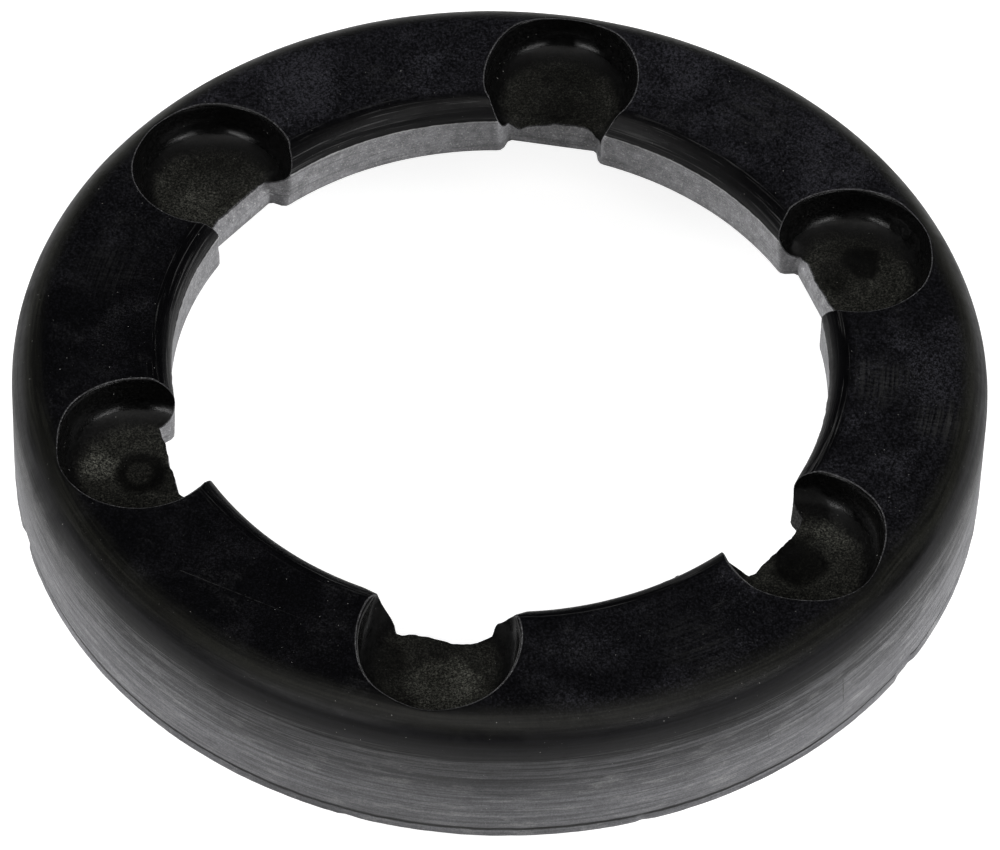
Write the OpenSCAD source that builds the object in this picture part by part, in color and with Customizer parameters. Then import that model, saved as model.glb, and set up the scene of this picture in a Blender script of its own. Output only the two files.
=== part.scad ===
// Coil spring insulator: one moulded rubber ring for the end of a suspension coil spring.
// A flange lies over the end coil and a skirt reaches down round it. Round pockets in the
// top face break through into the bore, and the bore wall between them stands as lands.
// The ring stands on its skirt, +Z up, with the origin on its axis at the foot. Millimetres.

/* [Ring] */
// Radius of the outer wall at the foot
outer_radius = 65; // [63.5:0.5:70]
// Height from the foot to the flat top face
ring_height = 21.5; // [20:0.5:25]
// Lean of the outer wall, inward as it rises, in degrees
wall_draft = 1; // [0.5:0.5:4]
// Radius of the round shoulder between the outer wall and the top face
shoulder_radius = 5.4; // [2:0.2:8]
// Radius of the round along the outer edge of the foot
foot_edge_radius = 0.8; // [0.3:0.1:1.5]

/* [Bore] */
// Radius of the bore at the level of the top face
bore_radius = 43.5; // [42:0.5:45]
// Lean of the bore wall, outward as it falls, in degrees
bore_draft = 2; // [0.5:0.5:4]
// Radius of the round edge between the bore wall and the top face
bore_edge_radius = 3.2; // [1:0.2:4]

/* [Coil seat] */
// Thickness of the flange that lies over the end coil
flange_thickness = 9.4; // [8.4:0.2:12]
// Width of the skirt at the foot
skirt_width = 7.5; // [6:0.5:9]
// Lean of the inner wall of the skirt, outward as it falls, in degrees
seat_draft = 2; // [0.5:0.5:4]
// Radius of the inside corner between flange and skirt
seat_corner_radius = 1.5; // [0.5:0.5:3]
// Radius of the round along the inner edge of the foot
seat_edge_radius = 0.5; // [0.2:0.1:1]

/* [Pockets] */
// Number of pockets round the top face
pocket_count = 6; // [4:1:7]
// Angle of the first pocket from the +X axis, in degrees
pocket_start = 30; // [0:5:60]
// Radius of a pocket at its rim
pocket_radius = 10.8; // [8.8:0.2:11.4]
// Distance by which a pocket breaks through the line of the bore
pocket_breakthrough = 3.8; // [3:0.2:5]
// Depth of a pocket from the top face to its floor
pocket_depth = 6.1; // [5.6:0.1:7]
// Lean of the pocket wall, outward as it rises, in degrees
pocket_draft = 2; // [0.5:0.5:4]
// Radius of the fillet between the wall and the floor of a pocket
pocket_fillet_radius = 4.5; // [2:0.25:4.75]
// Size of the chamfer round the rim of a pocket
rim_chamfer = 0.3; // [0.1:0.1:0.6]
// Radius of the shallow dish in the middle of a pocket floor
dish_radius = 4; // [2:0.5:5]
// Depth of that dish
dish_depth = 0.4; // [0.2:0.1:0.8]

/* [Lands] */
// Depth by which the wall under each pocket is set back from the bore
notch_depth = 2; // [1:0.1:3]
// Width of that set-back flat
notch_width = 12.4; // [8.4:0.4:13.2]
// Radius of the rounded ends of the lands
land_end_radius = 2.5; // [1.5:0.25:3]

/* [Hidden] */
rubber_black = [0.10, 0.10, 0.11];
$fn = 144;
// Reach of a cutting shape past the surface that it cuts
clear = 2;
// Bite of a round into the walls beside it, so that its arc crosses them and doesn't only touch
bite = 0.004;
// Level of the seat that lies on the end coil
seat_level = ring_height - flange_thickness;
// Level of the pocket floors
floor_level = ring_height - pocket_depth;
// Radius at which the pockets are centred
pocket_centre = bore_radius + pocket_radius - pocket_breakthrough;
// Radius of the sphere that presses the dish into a pocket floor
dish_sphere = (pow(dish_radius, 2) + pow(dish_depth, 2)) / (2 * dish_depth);
// Distance from the axis to the flat of a notch
notch_flat = bore_radius + notch_depth;

// Distance from the axis of a straight wall that passes foot_x at level 0 and leans in as it rises
function wall_x(foot_x, lean, level) = foot_x - level * tan(lean);

// Centre of a round between a leaning wall and a level face, on the inner side of the wall (side = -1)
// or on its outer side (side = 1)
function round_centre(foot_x, lean, level, radius, side) =
    [wall_x(foot_x, lean, level) + side * radius / cos(lean), level];

// Waste between a sharp corner and its round. across and up say which way the corner points.
module corner_waste(centre, radius, lean, across, up) {
    wall_point = centre + across * radius * [cos(lean), sin(lean)];
    face_point = centre + [0, up * radius];
    difference() {
        polygon([
            centre,
            face_point,
            face_point + [0, up * clear],
            [wall_point[0] + across * clear, face_point[1] + up * clear],
            wall_point + [across * clear, 0],
            wall_point
        ]);
        translate(centre)
            circle(r = radius + bite);
    }
}

// Section of the ring's outer body, from the axis out, with its shoulder and foot rounds
module body_section() {
    difference() {
        polygon([
            [0, 0],
            [outer_radius, 0],
            [wall_x(outer_radius, wall_draft, ring_height), ring_height],
            [0, ring_height]
        ]);
        corner_waste(
            round_centre(outer_radius, wall_draft, ring_height - shoulder_radius, shoulder_radius, -1),
            shoulder_radius, wall_draft, 1, 1
        );
        corner_waste(
            round_centre(outer_radius, wall_draft, foot_edge_radius, foot_edge_radius, -1),
            foot_edge_radius, wall_draft, 1, -1
        );
    }
}

// Section of the bore, with the round of its upper edge
module bore_section() {
    foot_x = bore_radius + ring_height * tan(bore_draft);
    polygon([
        [0, -clear],
        [wall_x(foot_x, bore_draft, -clear), -clear],
        [wall_x(foot_x, bore_draft, ring_height + clear), ring_height + clear],
        [0, ring_height + clear]
    ]);
    corner_waste(
        round_centre(foot_x, bore_draft, ring_height - bore_edge_radius, bore_edge_radius, 1),
        bore_edge_radius, bore_draft, -1, 1
    );
}

// Section of the recess under the flange, with the round of the skirt's inner foot edge
module seat_section() {
    foot_x = outer_radius - skirt_width;
    difference() {
        polygon([
            [0, -clear],
            [wall_x(foot_x, seat_draft, -clear), -clear],
            [wall_x(foot_x, seat_draft, seat_level), seat_level],
            [0, seat_level]
        ]);
        corner_waste(
            round_centre(foot_x, seat_draft, seat_level - seat_corner_radius, seat_corner_radius, -1),
            seat_corner_radius, seat_draft, 1, 1
        );
    }
    corner_waste(
        round_centre(foot_x, seat_draft, seat_edge_radius, seat_edge_radius, 1),
        seat_edge_radius, seat_draft, -1, -1
    );
}

// One pocket as a solid to cut away, on its own axis: chamfered rim, leaning wall, fillet, dished floor
module pocket_cut() {
    rim_level = ring_height - rim_chamfer;
    foot_x = wall_x(pocket_radius, pocket_draft, rim_level);
    rotate_extrude() {
        difference() {
            polygon([
                [0, floor_level],
                [wall_x(foot_x, -pocket_draft, floor_level), floor_level],
                [pocket_radius, rim_level],
                [pocket_radius + rim_chamfer + clear, ring_height + clear],
                [0, ring_height + clear]
            ]);
            corner_waste(
                round_centre(foot_x, -pocket_draft, floor_level + pocket_fillet_radius, pocket_fillet_radius, -1),
                pocket_fillet_radius, -pocket_draft, 1, -1
            );
        }
        intersection() {
            translate([0, floor_level - dish_depth + dish_sphere])
                circle(r = dish_sphere);
            translate([0, floor_level - clear])
                square([dish_radius + clear, clear + dish_depth]);
        }
    }
}

// Plan of one notch: a flat set back from the bore, with the rounded ends of the two lands beside it
module notch_plan() {
    half_width = notch_width / 2;
    end_y = half_width + land_end_radius;
    end_x = sqrt(pow(bore_radius + land_end_radius, 2) - pow(end_y, 2));
    touch = bore_radius / (bore_radius + land_end_radius) * [end_x, end_y];
    inner_x = touch[0] - clear;
    translate([inner_x, -half_width])
        square([notch_flat - inner_x, notch_width]);
    for (side = [0, 1])
        mirror([0, side])
            difference() {
                polygon([
                    [inner_x, half_width],
                    [end_x, half_width],
                    [end_x, end_y],
                    touch,
                    [inner_x, touch[1]]
                ]);
                translate([end_x, end_y])
                    circle(r = land_end_radius + bite);
            }
}

// One notch as a solid to cut away, through the whole flange
module notch_cut() {
    translate([0, 0, seat_level - clear])
        linear_extrude(flange_thickness + 2 * clear)
            notch_plan();
}

module insulator_ring() {
    color(rubber_black)
        difference() {
            rotate_extrude()
                difference() {
                    body_section();
                    bore_section();
                    seat_section();
                }
            for (i = [0 : pocket_count - 1])
                rotate([0, 0, pocket_start + i * 360 / pocket_count]) {
                    translate([pocket_centre, 0, 0])
                        pocket_cut();
                    notch_cut();
                }
        }
}

insulator_ring();
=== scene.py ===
import math

import bpy
import numpy as np
from mathutils import Matrix, Vector
from mathutils.geometry import delaunay_2d_cdt


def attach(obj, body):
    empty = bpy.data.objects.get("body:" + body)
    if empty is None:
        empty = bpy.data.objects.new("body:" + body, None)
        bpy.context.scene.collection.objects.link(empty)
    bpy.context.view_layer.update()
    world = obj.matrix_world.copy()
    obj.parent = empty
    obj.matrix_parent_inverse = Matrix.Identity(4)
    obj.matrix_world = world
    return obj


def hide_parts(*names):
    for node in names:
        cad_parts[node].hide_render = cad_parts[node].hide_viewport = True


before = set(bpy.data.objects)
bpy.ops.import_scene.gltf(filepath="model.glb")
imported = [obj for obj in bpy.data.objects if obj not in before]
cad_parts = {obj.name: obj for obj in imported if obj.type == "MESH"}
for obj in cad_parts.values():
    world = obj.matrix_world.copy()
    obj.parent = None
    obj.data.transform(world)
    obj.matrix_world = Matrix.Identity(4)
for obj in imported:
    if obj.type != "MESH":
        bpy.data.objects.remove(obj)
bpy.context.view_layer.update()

scene = bpy.context.scene
scene.view_settings.view_transform = "Standard"

# ---------------------------------------------------------------- camera
CAMERA_TARGET = Vector((-0.00038, 0.00431, 0.0))
CAMERA_DISTANCE = 0.81258
CAMERA_ELEVATION = math.radians(49.4514)
CAMERA_AZIMUTH = math.radians(7.7193)
CAMERA_ROLL = math.radians(2.0179)
FOCAL_PIXELS = 6008.2
SENSOR = 36.0


def make_camera():
    away = Vector((
        math.cos(CAMERA_ELEVATION) * math.sin(CAMERA_AZIMUTH),
        -math.cos(CAMERA_ELEVATION) * math.cos(CAMERA_AZIMUTH),
        math.sin(CAMERA_ELEVATION),
    ))
    right = Vector((0, 0, 1)).cross(away).normalized()
    up = away.cross(right).normalized()
    c, s = math.cos(CAMERA_ROLL), math.sin(CAMERA_ROLL)
    right, up = c * right + s * up, c * up - s * right
    data = bpy.data.cameras.new("camera")
    data.sensor_fit = "HORIZONTAL"
    data.sensor_width = SENSOR
    data.lens = SENSOR * FOCAL_PIXELS / 1000
    data.clip_start, data.clip_end = 0.01, 20
    obj = bpy.data.objects.new("camera", data)
    scene.collection.objects.link(obj)
    place = CAMERA_TARGET + CAMERA_DISTANCE * away
    obj.matrix_world = Matrix((
        (right.x, up.x, away.x, place.x),
        (right.y, up.y, away.y, place.y),
        (right.z, up.z, away.z, place.z),
        (0, 0, 0, 1),
    ))
    scene.camera = obj


# ---------------------------------------------------------------- stage and light
def area_lamp(name, place, target, width, height, power, colour):
    data = bpy.data.lights.new(name, "AREA")
    data.shape = "RECTANGLE"
    data.size, data.size_y = width, height
    data.energy = power
    data.color = colour
    obj = bpy.data.objects.new(name, data)
    scene.collection.objects.link(obj)
    obj.location = place
    obj.rotation_euler = (Vector(target) - Vector(place)).to_track_quat("-Z", "Y").to_euler()
    return obj


# Sizes of the moulding in millimetres, the same as the CAD's
OUTER_RADIUS, RING_HEIGHT, WALL_DRAFT = 65.0, 21.5, 1.0
SHOULDER_RADIUS, FOOT_EDGE_RADIUS = 5.4, 0.8
BORE_RADIUS, BORE_DRAFT, BORE_EDGE_RADIUS = 43.5, 2.0, 3.2
FLANGE_THICKNESS, SKIRT_WIDTH, SEAT_DRAFT = 9.4, 7.5, 2.0
SEAT_CORNER_RADIUS, SEAT_EDGE_RADIUS = 1.5, 0.5
POCKET_COUNT, POCKET_START, POCKET_RADIUS = 6, 30.0, 10.8
POCKET_BREAKTHROUGH, POCKET_DEPTH, POCKET_DRAFT = 3.8, 6.1, 2.0
POCKET_FILLET_RADIUS, RIM_CHAMFER = 4.5, 0.3
DISH_RADIUS, DISH_DEPTH = 4.0, 0.4
NOTCH_DEPTH, NOTCH_WIDTH, LAND_END_RADIUS = 2.0, 12.4, 2.5

SEAT_LEVEL = RING_HEIGHT - FLANGE_THICKNESS
FLOOR_LEVEL = RING_HEIGHT - POCKET_DEPTH
POCKET_CENTRE = BORE_RADIUS + POCKET_RADIUS - POCKET_BREAKTHROUGH
NOTCH_FLAT = BORE_RADIUS + NOTCH_DEPTH

# Looks of the rubber: reflectances, gloss and specks
TOP_DARK, TOP_SCUFFED = 0.0010, 0.0105
# painted sheen, in part: the shoulder's olive tone is lighter than the top's, standing in for a soft highlight
SHOULDER_SHEEN_TONE = 0.0055
# painted shade: the band between the shoulder and the wall is made darker
BAND_SHADE_TONE = 0.0018       # the dark band between the shoulder and the wall
WALL_TONE = 0.118
BORE_TONE = 0.155
BOWL_TONE, BOWL_WALL = 0.0150, 0.0016
SPECULAR = 0.3
SPECK_SIZE = 0.115
WALL_ZONE = 32.6       # length along the section at which the turned outer wall begins

# How the skin is meshed, in millimetres
CELL = 0.45            # triangles of the top, the bore and the bowls
HIDDEN_CELL = 1.1      # rows of the underside
SECTOR_COLUMNS = 72    # columns of the outer wall in one pocket's sector
BORE_COLUMNS = 92      # columns along the lower edge of the bore in one sector
SCALE_U = 50.0         # millimetres of the flat map for one radian round the ring
RIM_ROUND = 0.14       # reach of the rounded crease on either side
CREASE_STEP = 0.42     # spacing of the points along the crease
LIP_REACH = 2.0        # height above the foot round in which the rows lie closer
CREASE_CENTRE = 13.0   # place on the skin's flat map, over a pocket, from which the crease is traced


class Section:
    """A chain of lines and arcs in a half-plane, read by its length. A line is two points; an arc is
    its centre, its radius and its first and last angle in degrees."""

    def __init__(self, *parts):
        self.parts, self.starts, total = parts, [], 0.0
        for part in parts:
            self.starts.append(total)
            total += self.part_length(part)
        self.length = total

    @staticmethod
    def part_length(part):
        if len(part) == 2:
            return float(np.hypot(*(np.subtract(part[1], part[0]))))
        return part[1] * math.radians(abs(part[3] - part[2]))

    def at(self, s):
        s = np.asarray(s, float)
        x, z = np.zeros(s.shape), np.zeros(s.shape)
        last = len(self.parts) - 1
        for i, (part, start) in enumerate(zip(self.parts, self.starts)):
            length = self.part_length(part)
            here = (s >= start if i else s < 1e9) & ((s <= start + length) if i < last else s < 1e9)
            t = (s[here] - start) / length
            if len(part) == 2:
                (x0, z0), (x1, z1) = part
                x[here], z[here] = x0 + (x1 - x0) * t, z0 + (z1 - z0) * t
            else:
                (cx, cz), radius, a0, a1 = part
                a = np.radians(a0 + (a1 - a0) * t)
                x[here], z[here] = cx + radius * np.cos(a), cz + radius * np.sin(a)
        return x, z


def tangent(degrees):
    return math.tan(math.radians(degrees))


def polar(centre, radius, degrees):
    return (centre[0] + radius * math.cos(math.radians(degrees)),
            centre[1] + radius * math.sin(math.radians(degrees)))


# Centres of the rounds of the ring's section, each touching the drafted wall beside it
BORE_FOOT = BORE_RADIUS + RING_HEIGHT * tangent(BORE_DRAFT)
BORE_ROUND_LEVEL = RING_HEIGHT - BORE_EDGE_RADIUS
BORE_ROUND = (BORE_FOOT - BORE_ROUND_LEVEL * tangent(BORE_DRAFT)
              + BORE_EDGE_RADIUS / math.cos(math.radians(BORE_DRAFT)), BORE_ROUND_LEVEL)
SHOULDER_LEVEL = RING_HEIGHT - SHOULDER_RADIUS
SHOULDER = (OUTER_RADIUS - SHOULDER_LEVEL * tangent(WALL_DRAFT)
            - SHOULDER_RADIUS / math.cos(math.radians(WALL_DRAFT)), SHOULDER_LEVEL)
FOOT_ROUND = (OUTER_RADIUS - FOOT_EDGE_RADIUS * tangent(WALL_DRAFT)
              - FOOT_EDGE_RADIUS / math.cos(math.radians(WALL_DRAFT)), FOOT_EDGE_RADIUS)
SEAT_FOOT = OUTER_RADIUS - SKIRT_WIDTH
SEAT_EDGE = (SEAT_FOOT - SEAT_EDGE_RADIUS * tangent(SEAT_DRAFT)
             + SEAT_EDGE_RADIUS / math.cos(math.radians(SEAT_DRAFT)), SEAT_EDGE_RADIUS)
SEAT_CORNER_LEVEL = SEAT_LEVEL - SEAT_CORNER_RADIUS
SEAT_CORNER = (SEAT_FOOT - SEAT_CORNER_LEVEL * tangent(SEAT_DRAFT)
               - SEAT_CORNER_RADIUS / math.cos(math.radians(SEAT_DRAFT)), SEAT_CORNER_LEVEL)
SKIN_END = 45.0         # angle on the shoulder, in degrees above level, where the outer rows take over
UNDERSIDE_END = 46.6    # radius of the last row of the underside

bore_low = (BORE_FOOT - SEAT_LEVEL * tangent(BORE_DRAFT), SEAT_LEVEL)
SKIN = Section(
    (bore_low, polar(BORE_ROUND, BORE_EDGE_RADIUS, 180 + BORE_DRAFT)),
    (BORE_ROUND, BORE_EDGE_RADIUS, 180 + BORE_DRAFT, 90),
    ((BORE_ROUND[0], RING_HEIGHT), (SHOULDER[0], RING_HEIGHT)),
    (SHOULDER, SHOULDER_RADIUS, 90, SKIN_END),
)
OUTSIDE = Section(
    (SHOULDER, SHOULDER_RADIUS, SKIN_END, WALL_DRAFT),
    (polar(SHOULDER, SHOULDER_RADIUS, WALL_DRAFT), polar(FOOT_ROUND, FOOT_EDGE_RADIUS, WALL_DRAFT)),
    (FOOT_ROUND, FOOT_EDGE_RADIUS, WALL_DRAFT, -90),
    ((FOOT_ROUND[0], 0), (SEAT_EDGE[0], 0)),
    (SEAT_EDGE, SEAT_EDGE_RADIUS, 270, 180 + SEAT_DRAFT),
    (polar(SEAT_EDGE, SEAT_EDGE_RADIUS, 180 + SEAT_DRAFT), polar(SEAT_CORNER, SEAT_CORNER_RADIUS, SEAT_DRAFT)),
    (SEAT_CORNER, SEAT_CORNER_RADIUS, SEAT_DRAFT, 90),
    ((SEAT_CORNER[0], SEAT_LEVEL), (UNDERSIDE_END, SEAT_LEVEL)),
)
BORE_TOP = SKIN.starts[2]   # length along the skin at which the flat top begins
FOOT_RUN = SKIN.length + OUTSIDE.starts[2]   # at which the round along the foot begins
PARTING = SKIN.starts[1]    # and at which the bore's round begins, where the mould parts

rim_low = RING_HEIGHT - RIM_CHAMFER
wall_foot = POCKET_RADIUS - rim_low * tangent(POCKET_DRAFT)
FILLET_LEVEL = FLOOR_LEVEL + POCKET_FILLET_RADIUS
FILLET = (wall_foot + FILLET_LEVEL * tangent(POCKET_DRAFT)
          - POCKET_FILLET_RADIUS / math.cos(math.radians(POCKET_DRAFT)), FILLET_LEVEL)
DISH_SPHERE = (DISH_RADIUS ** 2 + DISH_DEPTH ** 2) / (2 * DISH_DEPTH)
dish_angle = math.degrees(math.asin(DISH_RADIUS / DISH_SPHERE))
BOWL = Section(
    ((0, FLOOR_LEVEL - DISH_DEPTH + DISH_SPHERE), DISH_SPHERE, -90, -90 + dish_angle),
    ((DISH_RADIUS, FLOOR_LEVEL), (FILLET[0], FLOOR_LEVEL)),
    (FILLET, POCKET_FILLET_RADIUS, -90, -POCKET_DRAFT),
    (polar(FILLET, POCKET_FILLET_RADIUS, -POCKET_DRAFT), (POCKET_RADIUS, rim_low)),
    ((POCKET_RADIUS, rim_low), (POCKET_RADIUS + 1.5, rim_low + 1.5)),
)


def notch_radius(angle):
    """Distance from the axis to the wall of the notch at an angle from the pocket's middle, 0 beside it."""
    a = np.abs(angle)
    half = NOTCH_WIDTH / 2
    end_y = half + LAND_END_RADIUS
    end_x = math.sqrt((BORE_RADIUS + LAND_END_RADIUS) ** 2 - end_y ** 2)
    flat_end, side_end = math.atan2(half, NOTCH_FLAT), math.atan2(half, end_x)
    touch = math.atan2(end_y, end_x)
    along = end_x * np.cos(a) + end_y * np.sin(a)
    short = along ** 2 - (end_x ** 2 + end_y ** 2 - LAND_END_RADIUS ** 2)
    round_r = along - np.sqrt(np.maximum(short, 0))
    side_r = half / np.maximum(np.sin(a), 1e-9)
    return np.where(a < flat_end, NOTCH_FLAT / np.cos(a),
                    np.where(a < side_end, side_r, np.where(a < touch, round_r, 0.0)))


def in_bowl(x, y, z):
    """True inside the space that a pocket takes out of the body, its pocket lying along +X."""
    rho = np.hypot(x - POCKET_CENTRE, y)
    wall = wall_foot + z * tangent(POCKET_DRAFT)
    side = np.where(z > rim_low, POCKET_RADIUS + z - rim_low, wall)
    across = np.clip(rho - FILLET[0], 0, POCKET_FILLET_RADIUS)
    fillet = FILLET_LEVEL - np.sqrt(POCKET_FILLET_RADIUS ** 2 - across ** 2)
    level = np.where(rho > FILLET[0], fillet, FLOOR_LEVEL)
    return np.where(z > FILLET_LEVEL, rho < side, (z > level) & (rho < FILLET[0] + POCKET_FILLET_RADIUS))


def bowl_point(phi, t):
    """Point of a bowl at a spoke angle and a length along its section."""
    rho, z = BOWL.at(t)
    return POCKET_CENTRE + rho * np.cos(phi), rho * np.sin(phi), z


def bowl_place(x, y, z):
    """Spoke angle and length along the bowl's section, for points on the bowl."""
    rho = np.hypot(x - POCKET_CENTRE, y)
    on_dish = DISH_SPHERE * np.arcsin(np.clip(rho / DISH_SPHERE, 0, 1))
    on_floor = BOWL.starts[1] + rho - DISH_RADIUS
    turn = np.degrees(np.arctan2(z - FILLET[1], rho - FILLET[0])) + 90
    on_fillet = BOWL.starts[2] + POCKET_FILLET_RADIUS * np.radians(turn)
    fillet_end = polar(FILLET, POCKET_FILLET_RADIUS, -POCKET_DRAFT)[1]
    on_wall = BOWL.starts[3] + (z - fillet_end) / math.cos(math.radians(POCKET_DRAFT))
    on_chamfer = BOWL.starts[4] + (z - rim_low) * math.sqrt(2)
    t = np.where(rho < DISH_RADIUS, on_dish, np.where(rho < FILLET[0], on_floor,
                 np.where(z < fillet_end, on_fillet, np.where(z < rim_low, on_wall, on_chamfer))))
    return np.arctan2(y, x - POCKET_CENTRE), t


def skin_point(u, s):
    """Point of the skin at a place of its flat map, in a sector whose pocket lies along +X."""
    a = u / SCALE_U
    r, z = SKIN.at(s)
    r = np.where(s < BORE_TOP, np.maximum(r, notch_radius(a)), r)
    return np.stack([r * np.cos(a), r * np.sin(a), z], -1)


def inside_polygon(points, polygon):
    x, y = points[:, 0][:, None], points[:, 1][:, None]
    x0, y0 = polygon[:, 0], polygon[:, 1]
    x1, y1 = np.roll(x0, -1), np.roll(y0, -1)
    crosses = (y0 > y) != (y1 > y)
    with np.errstate(divide="ignore", invalid="ignore"):
        at = x0 + (y - y0) * (x1 - x0) / (y1 - y0)
    return (np.sum(crosses & (x < at), axis=1) % 2).astype(bool)


def distance_to_loop(points, loop):
    """Distance from points to a closed polyline, in blocks to spare memory."""
    a, b = loop, np.roll(loop, -1, axis=0)
    d = b - a
    size = np.sum(d * d, axis=1)
    found = np.empty(len(points))
    for i in range(0, len(points), 4000):
        p = points[i:i + 4000, None, :]
        t = np.clip(np.sum((p - a) * d, axis=2) / size, 0, 1)
        found[i:i + 4000] = np.sqrt(np.min(np.sum((a + t[..., None] * d - p) ** 2, axis=2), axis=1))
    return found


def hex_lattice(low, high, cell):
    rows = np.arange(low[1], high[1], cell * math.sqrt(3) / 2)
    points = []
    for i, y in enumerate(rows):
        x = np.arange(low[0] + (cell / 2 if i % 2 else 0), high[0], cell)
        points.append(np.stack([x, np.full(x.shape, y)], -1))
    return np.concatenate(points)


def outward(loop):
    """Unit normals of a closed loop that runs anticlockwise."""
    d = np.roll(loop, -1, axis=0) - np.roll(loop, 1, axis=0)
    n = np.stack([d[:, 1], -d[:, 0]], -1)
    return n / np.linalg.norm(n, axis=1)[:, None]


def triangulate(points, loops):
    """Delaunay triangles over points, with the closed or open runs of indices in loops as edges."""
    edges = [(int(a), int(b)) for run in loops for a, b in zip(run[:-1], run[1:])]
    out = delaunay_2d_cdt([Vector(p) for p in points], edges, [], 0, 1e-9, True)
    source = np.array([ids[0] if ids else -1 for ids in out[3]])
    if (source < 0).any() or len(out[0]) != len(points):
        raise RuntimeError(f"the triangulation changed its points: {len(points)} to {len(out[0])}")
    faces = source[np.array(out[2], int)]
    p = np.asarray(points)[faces]
    area = np.cross(p[:, 1] - p[:, 0], p[:, 2] - p[:, 0])
    faces[area < 0] = faces[area < 0][:, ::-1]
    return faces[np.abs(area) > 1e-9]


def crease_loop():
    """The edge between bowl and skin as places on the skin's flat map, evenly spaced in space. Seen from
    a point of the map over the pocket, each direction meets it once."""
    def reach(turn):
        low, high = np.full(turn.shape, 0.5), np.full(turn.shape, 16.0)
        for _ in range(44):
            mid = (low + high) / 2
            u, s = mid * np.cos(turn), CREASE_CENTRE + mid * np.sin(turn)
            inside = in_bowl(*skin_point(u, s).T)
            low, high = np.where(inside, mid, low), np.where(inside, high, mid)
        return np.stack([low * np.cos(turn), CREASE_CENTRE + low * np.sin(turn)], -1)

    turn = np.linspace(-np.pi, np.pi, 5761)
    place = reach(turn)
    step = np.linalg.norm(np.diff(skin_point(place[:, 0], place[:, 1]), axis=0), axis=1)
    along = np.concatenate([[0], np.cumsum(step)])
    count = int(round(along[-1] / CREASE_STEP / 2)) * 2
    return reach(np.interp(np.arange(count) * along[-1] / count, along, turn))


# Wear and moulding faults of this one ring. A pocket's own frame has +X outward through its middle.
# How far the floor's edge at the bore is torn back and broken down, as (across, back, down)
TORN_FLOORS = (
    ((-8.0, 0.0, 0.0), (-6.0, 0.5, 0.2), (-4.0, 0.8, 0.0), (0.0, 0.6, 0.1), (4.5, 0.7, 0.0), (6.5, 0.1, 0.5), (8.5, 0.0, 0.0)),
    ((-8.4, 0.0, 0.4), (-7.6, 0.0, 1.2), (-6.9, 0.0, 1.8), (-6.3, 0.0, 1.4), (-5.7, 0.2, 0.7), (-5.1, 0.9, 0.1), (-4.2, 1.2, 0.0), (-1.6, 1.3, 0.0), (1.4, 0.8, 0.0), (3.5, 0.0, 0.1), (4.8, 0.0, 0.9), (6.3, 0.1, 0.5), (8.5, 0.0, 0.0)),
    ((-8.5, 0.0, 0.0), (-6.2, 0.7, 0.3), (-5.0, 1.3, 0.0), (0.0, 1.4, 0.0), (4.0, 1.2, 0.0), (6.5, 0.6, 0.0), (8.5, 0.0, 0.0)),
    ((-7.5, 0.0, 0.0), (-5.0, 0.1, 0.1), (-2.0, 0.5, 0.0), (0.0, 0.8, 0.0), (2.0, 0.9, 0.1), (4.0, 1.2, 0.0), (5.4, 1.2, 0.1), (6.6, 0.5, 0.0), (8.5, 0.0, 0.0)),
    ((-8.5, 0.0, 0.0), (-6.2, 0.4, 0.1), (-5.1, 0.6, 0.0), (-4.0, 0.0, 0.0), (-2.6, 0.0, 0.0), (-1.0, 0.25, 0.0), (1.6, 0.6, 0.1), (3.7, 0.25, 0.0), (4.7, -0.1, 0.0), (5.5, -0.9, 0.0), (6.4, -1.4, 0.0), (7.4, -1.1, 0.0), (8.5, 0.0, 0.0)),
    ((-8.5, 0.0, 0.0), (-6.6, 0.2, 0.0), (-5.2, 1.2, 0.1), (-3.0, 1.15, 0.0), (0.0, 1.05, 0.0), (3.0, 1.2, 0.0), (5.0, 0.8, 0.2), (6.8, 0.0, 0.0)),
)
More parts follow.
